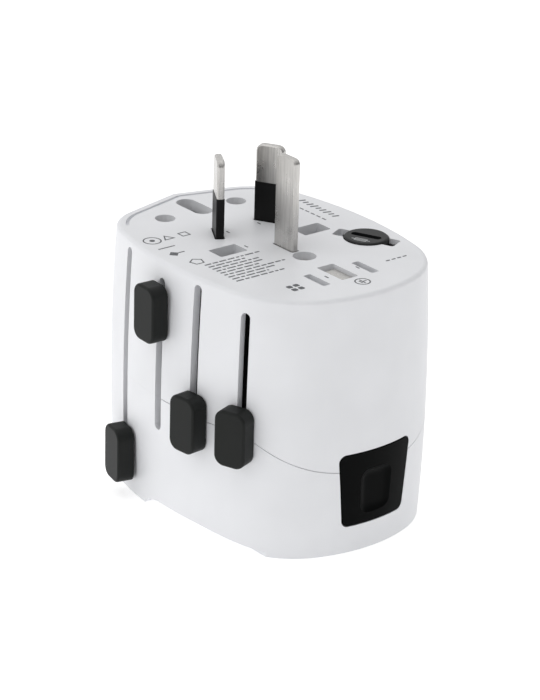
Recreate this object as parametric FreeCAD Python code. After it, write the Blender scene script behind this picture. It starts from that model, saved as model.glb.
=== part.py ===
import FreeCAD, Part
import math
import os
from FreeCAD import Vector as V

os.makedirs("parts", exist_ok=True)

# Universal travel adapter. Millimetres, +Z up, pins up and socket face down.
# Origin: centre of the socket face (the base). +X towards the release button, -Y towards the sliders.

# ---------------------------------------------------------------- body
body_height = 57.0
body_left = -34.8             # tip of the shallow vee at the left end
body_right = 34.8             # middle of the rounded right end
body_half_width = 25.8
left_vee_slope = 0.27         # how far the left end leans in, per mm away from its tip
side_radius = 85.0
side_centre_x = 0.6
end_radius = 34.2
right_corner_radius = 19.0
front_left_corner_radius = 11.5
back_left_corner_radius = 15.0
bulge = 1.0                   # the sides swell by this much at bulge_height
bulge_height = 25.0
base_swell = 0.3
top_edge_radius = 0.9
groove_inset = 1.9            # groove in the pin face, along the left end
groove_width = 0.8
groove_depth = 0.8
groove_right = -24.2
wall = 1.8
roof = 2.5
floor = 2.5

parting_height = 26.8
parting_drop_x = 22.9         # where the parting line starts to fall towards the button
parting_slope = 0.667
parting_bend_radius = 10.0
parting_gap = 0.2
lip_thickness = 0.8
lip_gap = 0.15
wall_bite = 0.3               # how deep an inner rib or pad is rooted in the wall
lip_reach = 2.0               # how far the lip stands above the parting line, and how far below it is rooted
hairline_x = -3.9             # left of this the shells close up to a hairline
hairline = 0.02

relief_height = 2.4           # the front edge of the base is cut back between two feet
relief_back_y = -20.6
relief_profile = [(-7.4, 1.6), (-3.4, relief_height), (9.5, relief_height), (20.5, 1.8), (27.6, 1.05)]
relief_ends = (-9.6, 28.6)
relief_pad = 1.8              # floor left above the relief

# ---------------------------------------------------------------- screws
screw_spots = [(-10.3, -18.1), (-10.3, 18.1), (27.0, -13.4), (27.0, 13.4)]
boss_radius = 2.6
boss_split = 12.0             # height where the lower bosses meet the upper ones
screw_radius = 1.1
screw_head_radius = 2.0
screw_head_low = 0.3
screw_head_high = 1.8
screw_top = 18.0
screw_gap = 0.2
cross_length = 2.6            # cross recess in the screw head
cross_width = 0.5
cross_depth = 0.6

# ---------------------------------------------------------------- plug sets
blade_width = 6.35
blade_thickness = 1.6
sleeve_extra = 0.08           # an insulating sleeve stands this much proud of its blade
sleeve_wall = 0.32
window_gap = 0.2              # clearance all round each pin in its window
earth_window_gap = 0.15
root_depth = 5.5              # how far a pin reaches below the inside of the roof
window_corner = 0.4
tip_radius = 1.2              # corners of a flat tip, where a set has no value of its own
aus_tip_radius = 1.6
uk_tip_radius = 1.0
pin_tip_share = 0.85          # rounding of a round tip, as a share of the pin's radius
sleeve_corner = 0.25
carriage_wall = 2.0           # plastic left round a pin where a carriage holds it

aus_x = -9.4
aus_half_spread = 6.86
aus_turn = 30.0
aus_earth_x = 4.87
aus_length = 17.06
aus_earth_length = 20.0
aus_sleeve_length = 8.7

uk_x = -0.4
uk_half_spread = 11.1
uk_earth_reach = 22.2
uk_pin = (6.35, 3.975)
uk_earth_pin = (7.95, 3.975)
uk_length = 17.7
uk_earth_length = 22.7
uk_sleeve_length = 9.5

us_x = 22.95
us_half_spread = 6.35
us_ground_reach = 11.9
us_blade_thickness = 1.5
us_length = 16.5
us_ground_radius = 2.3
us_ground_length = 19.8
us_eye_radius = 1.6           # hole near the tip of a flat blade
us_eye_below_tip = 3.6

round_x = -23.0
round_y = -1.1
round_half_spread = 9.5
round_earth_x = -22.4
round_earth_slot = 10.2       # length of the opening that the earth pin stands at one end of
round_pin_radius = 2.0
round_length = 19.0

# ---------------------------------------------------------------- sliders
slot_width = 2.2
stem_width = 1.8
stem_half_height = 3.6
stem_gap = 0.6                # above and below a stem, so that its corners clear the rounded slot ends
slot_x = {"round": -16.9, "aus": -3.0, "uk": 8.6, "us": 21.4}
knob_aside = {"round": 1.8, "aus": 0.0, "uk": 0.7, "us": -0.4}       # how far a knob sits off its slot
knob_below_top = {"round": 7.2, "aus": 10.6, "uk": 7.5, "us": 9.3}   # knob to pin face, with its pins out
travel = {"round": 40.2, "aus": 20.6, "uk": 23.4, "us": 20.8}        # of each knob
round_ratio = 0.5             # the round pins move half as far as their knob
spare_above = {"round": 1.3, "aus": 2.7, "uk": 1.8, "us": 1.3}       # slot left above the highest stem
spare_below = {"round": 0.0, "aus": 2.2, "uk": 0.0, "us": 0.0}       # slot left below the lowest stem
knob_width = 7.3
knob_height = 12.3
knob_depth = 3.75
knob_gap = 0.25
knob_corner = 2.3
knob_edge = 0.55
pocket_depth = 1.6
plate_thickness = 4.0
plate_gap = 0.5               # between a raised carriage and the roof
frame_thickness = 0.9
frame_gap = 1.3               # space between the shell wall and the slider frame
frame_half_length = 25.0
stem_reach = 3.0              # how far a stem goes on inside the slider frame
slide_head_half_width = 2.2   # plate on the round set's stem, behind the slider frame
slide_head_thickness = 2.0
slide_gap = 0.4               # between parts that slide past each other
carriage_gap = 0.7            # between neighbouring carriages
carriage_grip = 0.85          # plastic round the pins where the carriages are crowded
arm_short = 2.2               # half width of a carriage arm
arm_long = 4.2                # on the side where the angled-blade arm has room
strip_thickness = 0.3
strip_cover = 0.2             # plastic past the strip's side
strip_root = 0.3              # how far the strip runs on past the pin's centre, and how far short it stops
strip_end = 0.8

# ---------------------------------------------------------------- release button
button_y = 0.95
button_half_width = 9.45      # at its top edge
button_half_width_low = 7.95  # at its bottom edge
button_bottom = 6.3
button_top = 22.45
button_gap = 0.25
button_corner = 1.4
button_thickness = 3.8
scoop_depth = 0.9
scoop_half_width = 5.4
scoop_below_top = 3.0
scoop_above_bottom = 0.8
scoop_corner = 3.4
scoop_cove = 3.2              # the scoop's walls run out in a soft curve
latch_half_width = 6.2
latch_leg = 2.4
latch_reach = 5.2
latch_low = 9.0
latch_bar_height = 3.0
latch_hook_height = 9.0
latch_thickness = 1.5
spring_radius = 2.6
spring_wire = 0.6
spring_length = 5.5
spring_height_z = 17.0
coil_points = 12              # of a spring's centre line, per turn
spring_wall = 1.1
spring_wall_half_width = 3.3

# ---------------------------------------------------------------- fuse
cap_radius = 4.75
cap_gap = 0.15
cap_height = 4.2
cap_proud = 0.4
cap_edge = 0.5
cap_rim = 1.0                 # width of the holder's rim round the cap
notch_angle = 25.0            # the ears are turned a quarter turn away from the notches at rest
ear_out = 1.6                 # how far the ears and the notches reach beyond the cap
notch_out = 2.4
ear_width = 3.4
ear_height = 1.0
ear_gap = 0.15
notch_gap = 0.3
notch_corner = 0.6
coin_slot_length = 6.9
coin_slot_width = 1.7
coin_slot_depth = 1.5
fuse_radius = 2.6
fuse_length = 20.0
ferrule_length = 4.5
ferrule_thickness = 0.3
ferrule_end = 1.0
glass_thickness = 0.6
fuse_gap = 0.2
cap_to_fuse = 0.05
holder_floor = 1.0
rim_height = 2.2
holder_wall = 0.9
fuse_spring_length = 3.0
fuse_spring_radius = 1.9
fuse_spring_wire = 0.5
fuse_x = 10.0
fuse_y = body_half_width - wall - cap_radius - cap_rim - 0.8

# ---------------------------------------------------------------- socket
socket_x = -7.0               # the line and neutral openings
socket_round_radius = 2.4     # the thickest round pins it takes
socket_mid_reach = 5.0
aperture_gap = 0.35
plate_half_y = 15.25
plate_x = (-15.0, 22.5)
plate_fit = 0.15
flange_thickness = 1.5        # the plate's flange, inside the floor
flange_side = 1.2
flange_end = 1.6
contact_thickness = 0.5
contact_height = 19.0
contact_half_length = 3.9
contact_y = (4.6, 14.8)
earth_contact_half_width = 3.3
earth_contact_short = 2.4     # from the end of the plate
riser_x = -17.4               # each contact has a riser towards the plug sets
riser_width = 3.2
riser_y = {"live": 10.6, "neutral": -9.0, "earth": -1.6}
riser_top_gap = 4.0           # between a riser and a raised carriage

roof_z = body_height - roof
plate_top = roof_z - plate_gap
plate_low = plate_top - plate_thickness
knob_out = {name: body_height - below for name, below in knob_below_top.items()}
pin_travel = dict(travel, round=travel["round"] * round_ratio)
contact_low = floor + flange_thickness
contact_top = contact_low + contact_height
frame_out = wall + frame_gap
spring_x = body_right - button_thickness - spring_length


def save(name, shape):
    shape = shape.removeSplitter()
    solids = shape.Solids
    shape = solids[0] if len(solids) == 1 else Part.makeCompound(solids)
    shape.exportStep("parts/%s.step" % name)


def box(x0, x1, y0, y1, z0, z1):
    return Part.makeBox(x1 - x0, y1 - y0, z1 - z0, V(x0, y0, z0))


def post(x, y, radius, z0, z1):
    return Part.makeCylinder(radius, z1 - z0, V(x, y, z0))


def slab(points, z0, z1):
    corners = [V(x, y, z0) for x, y in points]
    return Part.Face(Part.makePolygon(corners + corners[:1])).extrude(V(0, 0, z1 - z0))


def rounded(block, axis, radius):
    """A box with its four edges along one axis rounded."""
    long = [e for e in block.Edges
            if abs(getattr(e.Vertexes[0].Point - e.Vertexes[1].Point, axis)) > 1e-6]
    return block.makeFillet(radius, long)


def turned(shape, degrees, x, y):
    moved = shape.copy()
    moved.rotate(V(0, 0, 0), V(0, 0, 1), degrees)
    moved.translate(V(x, y, 0))
    return moved


def tangent_circle(big_a, big_b, radius):
    """Centre of a circle that touches two larger circles from inside, on their +Y side."""
    (ax, ay, ar), (bx, by, br) = big_a, big_b
    a = ar - radius
    b = br - radius
    d = math.hypot(bx - ax, by - ay)
    along = (a * a - b * b + d * d) / (2 * d)
    across = math.sqrt(max(a * a - along * along, 0.0))
    ux, uy = (bx - ax) / d, (by - ay) / d
    spots = [(ax + along * ux - s * across * uy, ay + along * uy + s * across * ux) for s in (1, -1)]
    return max(spots, key=lambda spot: spot[1])


def half_outline(left_radius):
    """Circles of the plan outline for y > 0, from the right end round to the left vee."""
    end = (body_right - end_radius, 0.0, end_radius)
    side = (side_centre_x, body_half_width - side_radius, side_radius)
    cx, cy = tangent_circle(end, side, right_corner_radius)
    lean = math.hypot(1.0, left_vee_slope)
    nx, ny = -1.0 / lean, left_vee_slope / lean
    dx, dy = left_vee_slope / lean, 1.0 / lean
    wx = body_left - left_radius * nx - side[0]
    wy = -left_radius * ny - side[1]
    b = wx * dx + wy * dy
    c = wx * wx + wy * wy - (side_radius - left_radius) ** 2
    t = -b + math.sqrt(max(b * b - c, 0.0))
    left = (body_left - left_radius * nx + t * dx, -left_radius * ny + t * dy, left_radius)
    return [end, (cx, cy, right_corner_radius), side, left]


halves = {1: half_outline(back_left_corner_radius), -1: half_outline(front_left_corner_radius)}


def angles_of(circles):
    """Angles at which each circle of a half outline starts and ends."""
    end, corner, side, left = circles
    first = math.atan2(corner[1] - end[1], corner[0] - end[0])
    second = math.atan2(corner[1] - side[1], corner[0] - side[0])
    third = math.atan2(left[1] - side[1], left[0] - side[0])
    last = math.pi - math.atan(left_vee_slope)
    return [(0.0, first), (first, second), (second, third), (third, last)]


def outline(offset, z):
    """Closed plan outline pushed out by offset, at height z."""
    lean = math.hypot(1.0, left_vee_slope)
    tip = V(body_left - offset * lean, 0, z)
    edges = []
    for sign in (1, -1):
        chain = []
        for (cx, cy, r), (a0, a1) in zip(halves[sign], angles_of(halves[sign])):
            spots = [V(cx + (r + offset) * math.cos(a), sign * (cy + (r + offset) * math.sin(a)), z)
                     for a in (a0, (a0 + a1) / 2, a1)]
            chain.append(spots)
        arcs = [Part.Arc(s[0], s[1], s[2]).toShape() for s in chain]
        line = Part.makeLine(chain[-1][2], tip)
        if sign == 1:
            edges = arcs + [line]
        else:
            back = [Part.Arc(s[2], s[1], s[0]).toShape() for s in reversed(chain)]
            edges = edges + [Part.makeLine(tip, chain[-1][2])] + back
    return Part.Wire(edges)


def swell(z):
    """How far the sides stand outside the top outline at height z."""
    if z >= bulge_height:
        return bulge * (1 - ((z - bulge_height) / (body_height - bulge_height)) ** 2)
    return bulge - (bulge - base_swell) * ((bulge_height - z) / bulge_height) ** 2


def body(inset, z0, z1, edge=0.0):
    """Solid body drawn in by inset between two heights, with a rounded top edge if edge is set."""
    shoulder = z1 - edge
    count = max(2, int(round((shoulder - z0) / 9.0)))       # a level about every 9 mm
    levels = [z0 + (shoulder - z0) * i / count for i in range(count + 1)]
    solid = Part.makeLoft([outline(swell(z) - inset, z) for z in levels], True, False)
    if edge:
        start = swell(shoulder) - inset
        rings = []
        for step in range(6):
            a = math.radians(90.0 * step / 5)
            rings.append(outline(start - edge * (1 - math.cos(a)), shoulder + edge * math.sin(a)))
        solid = solid.fuse(Part.makeLoft(rings, True, False))
    return solid


def ring(outer_inset, inner_inset, z0, z1):
    return body(outer_inset, z0, z1).cut(body(inner_inset, z0 - 1, z1 + 1))


def parting_side(shift, above):
    """Everything above or below the parting line after moving it up by shift."""
    a = math.atan(parting_slope)
    reach = parting_bend_radius * math.tan(a / 2)
    z = parting_height + shift
    start = V(-60, -60, z)
    bend0 = V(parting_drop_x - reach, -60, z)
    mid = V(bend0.x + parting_bend_radius * math.sin(a / 2), -60,
            z - parting_bend_radius * (1 - math.cos(a / 2)))
    bend1 = V(parting_drop_x + reach * math.cos(a), -60, z - reach * math.sin(a))
    finish = V(60, -60, z - (60 - parting_drop_x) * parting_slope)
    far = body_height + 40 if above else -60
    edges = [Part.makeLine(start, bend0), Part.Arc(bend0, mid, bend1).toShape(),
             Part.makeLine(bend1, finish), Part.makeLine(finish, V(60, -60, far)),
             Part.makeLine(V(60, -60, far), V(-60, -60, far)), Part.makeLine(V(-60, -60, far), start)]
    return Part.Face(Part.Wire(edges)).extrude(V(0, 120, 0))


def front_spot(x):
    """Point on the front of the plan outline at x, and the outward direction there."""
    angles = angles_of(halves[-1])
    for (cx, cy, r), (a0, a1) in zip(halves[-1], angles):
        if abs(x - cx) <= r:
            a = math.acos((x - cx) / r)
            if a0 - 1e-9 <= a <= a1 + 1e-9:
                return V(x, -(cy + r * math.sin(a)), 0), V(math.cos(a), -math.sin(a), 0)
    raise ValueError("no front surface at x = %.1f" % x)


def along_slot(name, half_width, depth_in, depth_out, z0, z1):
    """Block through the front wall at a slider, from depth_in inside to depth_out outside."""
    spot, out = front_spot(slot_x[name])
    block = box(-depth_in, depth_out, -half_width, half_width, z0, z1)
    return turned(block, math.degrees(math.atan2(out.y, out.x)), spot.x, spot.y)


def slot_cut(name, half_width, depth_in, depth_out):
    """Round-ended vertical slot that one slider runs in."""
    end_room = stem_half_height + stem_gap
    top = knob_out[name] + end_room + spare_above[name]
    low = knob_out[name] - travel[name] - end_room - spare_below[name]
    spot, out = front_spot(slot_x[name])
    turn = math.degrees(math.atan2(out.y, out.x))
    cut = box(-depth_in, depth_out, -half_width, half_width, low + half_width, top - half_width)
    for z in (low + half_width, top - half_width):
        end = Part.makeCylinder(half_width, depth_in + depth_out, V(-depth_in, 0, z), V(1, 0, 0))
        cut = cut.fuse(end)
    return turned(cut, turn, spot.x, spot.y)


def lowered(shape, name, distances):
    """A piece drawn with its set out, moved to rest. Only the angled-blade set rests out."""
    moved = shape.copy()
    moved.translate(V(0, 0, 0.0 if name == "aus" else -distances[name]))
    return moved


# ---------------------------------------------------------------- pins, drawn with every set out
def flat_blade(width, thickness, length, tip_radius, z0):
    """Blade with its width along X and rounded corners at its tip."""
    top = body_height + length
    blade = box(-width / 2, width / 2, -thickness / 2, thickness / 2, z0, top)
    ends = [e for e in blade.Edges
            if abs(e.CenterOfMass.z - top) < 1e-6 and abs(e.CenterOfMass.x) > width / 2 - 1e-6]
    blade = blade.makeFillet(tip_radius, ends)
    rim = [e for e in blade.Edges if e.CenterOfMass.z > top - tip_radius * 0.95
           and abs(abs(e.CenterOfMass.y) - thickness / 2) < 1e-6]
    return blade.makeChamfer(min(0.3, thickness * 0.2), rim)


def sleeved(width, thickness, length, tip_radius, sleeve_length):
    """Blade with a waist that an insulating sleeve fills, and the sleeve."""
    low = roof_z - root_depth
    sleeve_top = body_height + sleeve_length
    blade = flat_blade(width, thickness, length, tip_radius, low)
    waist = box(-width / 2 - 1, width / 2 + 1, -thickness / 2 - 1, thickness / 2 + 1, plate_top, sleeve_top)
    core = box(-width / 2 + sleeve_wall, width / 2 - sleeve_wall,
               -thickness / 2 + sleeve_wall, thickness / 2 - sleeve_wall, plate_top, sleeve_top)
    blade = blade.cut(waist.cut(core))
    w = width / 2 + sleeve_extra
    t = thickness / 2 + sleeve_extra
    sleeve = rounded(box(-w, w, -t, t, plate_top, sleeve_top), "z", sleeve_corner)
    return blade, sleeve.cut(core)


def round_pin(radius, length):
    top = body_height + length
    pin = Part.makeCylinder(radius, top - roof_z + root_depth, V(0, 0, roof_z - root_depth))
    rim = [e for e in pin.Edges if e.CenterOfMass.z > top - 1e-6]
    return pin.makeFillet(radius * pin_tip_share, rim)


pins = {}
sleeves = {}
windows = []
window_low = roof_z - root_depth
window_top = body_height + 5


def add_window(width, depth, degrees, x, y, gap, corner=window_corner):
    hole = box(-width / 2 - gap, width / 2 + gap, -depth / 2 - gap, depth / 2 + gap, window_low, window_top)
    windows.append(turned(rounded(hole, "z", corner), degrees, x, y))


def add_pin(name, shape, degrees, x, y):
    pins[name] = turned(shape, degrees, x, y)


pin_low = roof_z - root_depth
sleeve_gap = sleeve_extra + window_gap
for side, sign in (("neutral", -1), ("live", 1)):
    aus_y = sign * aus_half_spread
    blade, sleeve = sleeved(blade_width, blade_thickness, aus_length, aus_tip_radius, aus_sleeve_length)
    add_pin("aus_blade_" + side, blade, sign * aus_turn, aus_x, aus_y)
    sleeves["aus_sleeve_" + side] = turned(sleeve, sign * aus_turn, aus_x, aus_y)
    add_window(blade_width, blade_thickness, sign * aus_turn, aus_x, aus_y, sleeve_gap)

    uk_y = sign * uk_half_spread
    blade, sleeve = sleeved(uk_pin[0], uk_pin[1], uk_length, uk_tip_radius, uk_sleeve_length)
    add_pin("uk_pin_" + side, blade, 90, uk_x, uk_y)
    sleeves["uk_sleeve_" + side] = turned(sleeve, 90, uk_x, uk_y)
    add_window(uk_pin[0], uk_pin[1], 90, uk_x, uk_y, sleeve_gap)

    us_y = sign * us_half_spread
    blade = flat_blade(blade_width, us_blade_thickness, us_length, tip_radius, pin_low)
    eye_z = body_height + us_length - us_eye_below_tip
    eye = Part.makeCylinder(us_eye_radius, 6, V(0, -3, eye_z), V(0, 1, 0))
    add_pin("us_blade_" + side, blade.cut(eye), 0, us_x, us_y)
    add_window(blade_width, us_blade_thickness, 0, us_x, us_y, window_gap)

    pin_y = round_y + sign * round_half_spread
    add_pin("round_pin_" + side, round_pin(round_pin_radius, round_length), 0, round_x, pin_y)
    windows.append(post(round_x, pin_y, round_pin_radius + window_gap, window_low, window_top))

aus_earth = flat_blade(blade_width, blade_thickness, aus_earth_length, tip_radius, pin_low)
add_pin("aus_blade_earth", aus_earth, 0, aus_earth_x, 0)
add_window(blade_width, blade_thickness, 0, aus_earth_x, 0, window_gap)

uk_earth_x = uk_x + uk_earth_reach
uk_earth = flat_blade(uk_earth_pin[0], uk_earth_pin[1], uk_earth_length, tip_radius, pin_low)
add_pin("uk_pin_earth", uk_earth, 0, uk_earth_x, 0)
add_window(uk_earth_pin[0], uk_earth_pin[1], 0, uk_earth_x, 0, earth_window_gap)

us_ground_x = us_x - us_ground_reach
add_pin("us_pin_ground", round_pin(us_ground_radius, us_ground_length), 0, us_ground_x, 0)
windows.append(post(us_ground_x, 0, us_ground_radius + window_gap, window_low, window_top))

# The round set's earth pin stands at the +X end of a long opening.
add_pin("round_pin_earth", round_pin(round_pin_radius, round_length), 0, round_earth_x, round_y)
earth_slot_half = round_pin_radius + window_gap
add_window(round_earth_slot, 2 * earth_slot_half, 0,
           round_earth_x + earth_slot_half - round_earth_slot / 2, round_y, 0.0, earth_slot_half - 0.001)

set_of = {name: [pin for pin in pins if pin.startswith(name)] for name in slot_x}

# ---------------------------------------------------------------- shells
case = body(0.0, 0.0, body_height, top_edge_radius).cut(body(wall, floor, roof_z))


def shell(above):
    """One half of the case. The joint between the halves closes to a hairline at the left."""
    side = 1 if above else -1
    main = case.common(parting_side(side * parting_gap / 2, above))
    filler = case.common(parting_side(side * hairline / 2, above))
    return main.fuse(filler.common(box(-60, hairline_x, -60, 60, -1, body_height + 1)))


upper = shell(True)
lower = shell(False)

# A lip on the lower shell stands inside the upper one and closes the joint.
lip_low = parting_height - parting_slope * (body_right - parting_drop_x) - 2 * lip_reach - 5
lip_high = parting_height + lip_reach + 1
lip_inset = wall + lip_gap
below_lip = parting_side(-lip_reach, True)
lip_root = ring(wall - wall_bite, lip_inset + lip_thickness, lip_low, lip_high)
lip_root = lip_root.common(below_lip).common(parting_side(-parting_gap / 2, False))
lip_top = ring(lip_inset, lip_inset + lip_thickness, lip_low, lip_high)
lip_top = lip_top.common(below_lip).common(parting_side(lip_reach, False))
# The lip is notched where a screw boss of the upper shell comes down past it.
boss_room = Part.makeCompound(
    [post(x, y, boss_radius + lip_gap, boss_split, roof_z) for x, y in screw_spots])
lower = lower.fuse([lip_root.cut(boss_room), lip_top.cut(boss_room)])

# The relief at the front of the base leaves a raised pad of floor behind it.
pad_top = relief_height + relief_pad


def relief(end_z, grow):
    """Block with the relief's profile, seen from the front, grown upwards and backwards by grow."""
    profile = [(relief_ends[0], end_z)] + relief_profile + [(relief_ends[1], end_z)]
    corners = [V(x, -60, max(z + grow, end_z)) for x, z in profile]
    face = Part.Face(Part.makePolygon(corners + corners[:1]))
    return face.extrude(V(0, 60 + relief_back_y + grow, 0))


lower = lower.fuse(relief(0.1, relief_pad).common(body(wall - wall_bite, 0.1, pad_top + 1)))
lower = lower.cut(relief(-1.0, 0.0))

for x, y in screw_spots:
    lower = lower.fuse(post(x, y, boss_radius, floor - 0.5, boss_split))
    upper = upper.fuse(post(x, y, boss_radius, boss_split + parting_gap, roof_z + 0.5))
lower = lower.cut(Part.makeCompound(
    [post(x, y, screw_radius + screw_gap, -1, boss_split + 1) for x, y in screw_spots]
    + [post(x, y, screw_head_radius + screw_gap, -1, screw_head_high) for x, y in screw_spots]))
upper = upper.cut(Part.makeCompound(
    [post(x, y, screw_radius, boss_split - 1, screw_top + 3) for x, y in screw_spots]))

for name in slot_x:
    cut = slot_cut(name, slot_width / 2, frame_out, bulge + 5)
    upper = upper.cut(cut)
    lower = lower.cut(cut)

upper = upper.cut(Part.makeCompound(windows))

# Shallow groove just inside the left edge of the pin face.
groove_low = body_height - groove_depth
groove = ring(groove_inset, groove_inset + groove_width, groove_low, body_height + 1)
groove = groove.common(box(-60, groove_right, -60, 60, 0, body_height + 5))
upper = upper.cut(groove)

# Fuse well with two bayonet notches, and a groove under the skin for the ears.
ear_low = roof_z + ear_gap
ear_reach = cap_radius + ear_out
notch_reach = cap_radius + notch_out
notch_half = ear_width / 2 + notch_gap
well = post(fuse_x, fuse_y, cap_radius + cap_gap, roof_z - 2, body_height + 2)
notch = box(-notch_reach, notch_reach, -notch_half, notch_half, ear_low + ear_height - 0.2, body_height + 2)
notch = turned(rounded(notch, "z", notch_corner), notch_angle, fuse_x, fuse_y)
ear_groove = post(fuse_x, fuse_y, ear_reach + notch_gap, roof_z - 2, ear_low + ear_height + ear_gap)
upper = upper.cut(well).cut(notch).cut(ear_groove)


# ---------------------------------------------------------------- release button
def button_block(grow, x0, x1):
    """Tapered block with rounded corners, wider at its top, grown all round."""
    low = button_bottom - grow
    high = button_top + grow
    corners = [(-button_half_width_low, low), (button_half_width_low, low),
               (button_half_width, high), (-button_half_width, high)]
    points = [V(x0, button_y + y + math.copysign(grow, y), z) for y, z in corners]
    block = Part.Face(Part.makePolygon(points + points[:1])).extrude(V(x1 - x0, 0, 0))
    return rounded(block, "x", button_corner + grow)


button_inner_x = body_right - button_thickness
opening = button_block(button_gap, button_inner_x - 8, body_right + 25)
upper = upper.cut(opening)
lower = lower.cut(opening)
button = button_block(0.0, button_inner_x, body_right + 25).common(body(-0.1, 0, button_top + 15))
scoop_face = body_right + bulge - scoop_depth
scoop = box(scoop_face, scoop_face + 6, button_y - scoop_half_width, button_y + scoop_half_width,
            button_bottom + scoop_above_bottom, button_top - scoop_below_top)
scoop = rounded(scoop, "x", scoop_corner)
scoop = scoop.makeFillet(scoop_cove, [e for e in scoop.Edges if abs(e.CenterOfMass.x - scoop_face) < 1e-6])
button = button.cut(scoop)

# Latch fork behind the button: a bar with two legs, each with an upright hook.
latch_top = latch_low + latch_bar_height
latch_end = button_inner_x - latch_reach
latch_bar = box(button_inner_x - latch_thickness, button_inner_x, -latch_half_width, latch_half_width,
                latch_low, latch_top)
for sign in (-1, 1):
    y0, y1 = sorted((sign * latch_half_width, sign * (latch_half_width - latch_leg)))
    latch_bar = latch_bar.fuse(box(latch_end, button_inner_x, y0, y1, latch_low, latch_top))
    latch_bar = latch_bar.fuse(box(latch_end, latch_end + latch_thickness, y0, y1,
                                   latch_low, latch_low + latch_hook_height))

# ---------------------------------------------------------------- socket side
plate_x0, plate_x1 = plate_x
lower = lower.cut(box(plate_x0 - plate_fit, plate_x1 + plate_fit, -plate_half_y - plate_fit,
                      plate_half_y + plate_fit, -1, floor + 1))
socket_plate = box(plate_x0, plate_x1, -plate_half_y, plate_half_y, 0, floor)
flange_y = plate_half_y + flange_side
flange = box(plate_x0 - flange_end, plate_x1 + flange_end, -flange_y, flange_y, floor, contact_low)
socket_plate = socket_plate.fuse(flange)
socket_plate = socket_plate.cut(Part.makeCompound(
    [post(x, y, boss_radius + screw_gap, floor, contact_low + 1) for x, y in screw_spots]))
socket_plate = socket_plate.cut(ring(-5, frame_out + frame_thickness + screw_gap, -1, contact_low + 2))


def aperture(width, depth, degrees, x, y):
    w = width / 2 + aperture_gap
    d = depth / 2 + aperture_gap
    return turned(box(-w, w, -d, d, -1, contact_low + 1), degrees, x, y)


holes = []
for sign in (-1, 1):
    holes.append(aperture(uk_pin[0], uk_pin[1], 90, socket_x, sign * uk_half_spread))
    holes.append(aperture(blade_width, blade_thickness, sign * aus_turn, socket_x, sign * aus_half_spread))
    holes.append(aperture(blade_width, blade_thickness, 0, socket_x, sign * us_half_spread))
    holes.append(post(socket_x, sign * round_half_spread, socket_round_radius + aperture_gap,
                      -1, contact_low + 1))
holes.append(aperture(uk_earth_pin[0], uk_earth_pin[1], 0, socket_x + uk_earth_reach, 0))
holes.append(aperture(blade_width, blade_thickness, 0, socket_x + aus_earth_x - aus_x, 0))
centre_holes = ((us_ground_reach, us_ground_radius), (socket_mid_reach, round_pin_radius),
                (0.0, round_pin_radius))
for reach, radius in centre_holes:
    holes.append(post(socket_x + reach, 0, radius + aperture_gap, -1, contact_low + 1))
socket_plate = socket_plate.cut(Part.makeCompound(holes))


def clip(x0, x1, y0, y1, fold):
    """Spring clip of two leaves joined at the top. fold says which way the leaves face each other."""
    t = contact_thickness
    top = box(x0, x1, y0, y1, contact_top, contact_top + t)
    if fold == "x":
        return top.fuse([box(x0, x0 + t, y0, y1, contact_low, contact_top),
                         box(x1 - t, x1, y0, y1, contact_low, contact_top)])
    return top.fuse([box(x0, x1, y0, y0 + t, contact_low, contact_top),
                     box(x0, x1, y1 - t, y1, contact_low, contact_top)])


def with_riser(contact, name, x1):
    """Adds a strip to the left of a clip and a riser that goes up towards the plug sets."""
    y0 = riser_y[name]
    y1 = y0 + riser_width
    t = contact_thickness
    return contact.fuse([box(riser_x, x1, y0, y1, contact_top, contact_top + t),
                         box(riser_x, riser_x + t, y0, y1, contact_top, plate_low - riser_top_gap)])


contact_x0 = socket_x - contact_half_length
contact_x1 = socket_x + contact_half_length
clips = {"live": clip(contact_x0, contact_x1, contact_y[0], contact_y[1], "x"),
         "neutral": clip(contact_x0, contact_x1, -contact_y[1], -contact_y[0], "x"),
         "earth": clip(contact_x0, plate_x1 - earth_contact_short,
                       -earth_contact_half_width, earth_contact_half_width, "y")}
contacts = {name: with_riser(clips[name], name, contact_x0) for name in clips}

# ---------------------------------------------------------------- slider frame
slider_frame = ring(frame_out, frame_out + frame_thickness, pad_top, roof_z - 0.2)
slider_frame = slider_frame.common(box(-frame_half_length, frame_half_length, -60, -body_half_width / 2,
                                       0, body_height))
for name in slot_x:
    slider_frame = slider_frame.cut(slot_cut(name, slot_width / 2 + 0.3, frame_out + 3, 0))

# ---------------------------------------------------------------- carriages, drawn with every set out
# Arms run on past the front and are then cut to the inside of the slider frame.
past_front = -body_half_width - 10
cut_back = frame_out + frame_thickness + slide_gap
inside_frame = Part.Face(outline(-cut_back, 0)).extrude(V(0, 0, body_height))


def plate(points):
    return slab(points, plate_low, plate_top)


round_grip = round_pin_radius + carriage_wall
aus_grip = blade_width / 2 * math.cos(math.radians(aus_turn)) + blade_thickness / 2 + carriage_grip
aus_left = aus_x - aus_grip
aus_right = aus_x + aus_grip
aus_high = aus_half_spread + blade_width / 2 + carriage_grip / 2
aus_earth_grip = blade_thickness / 2 + carriage_wall
aus_arm_left = slot_x["aus"] - arm_long
aus_arm_end = slot_x["aus"] + arm_short
uk_left = uk_x - uk_pin[1] / 2 - carriage_grip
uk_right = uk_x + uk_pin[1] / 2 + carriage_grip
uk_low = uk_half_spread - uk_pin[0] / 2 - carriage_grip
uk_high = uk_half_spread + uk_pin[0] / 2 + carriage_grip
uk_earth_high = uk_earth_x + uk_earth_pin[0] / 2 + carriage_grip
uk_earth_grip = uk_earth_pin[1] / 2 + carriage_grip
us_left = us_ground_x - us_ground_radius + carriage_gap / 2
us_right = us_x + blade_width / 2 + carriage_wall * 2
us_low = us_half_spread - us_blade_thickness / 2 - carriage_grip - 0.3
us_high = us_half_spread + us_blade_thickness / 2 + carriage_grip + 0.3
us_ground_right = us_ground_x + us_ground_radius + carriage_grip / 2
us_arm_left = slot_x["us"] - arm_short
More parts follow.
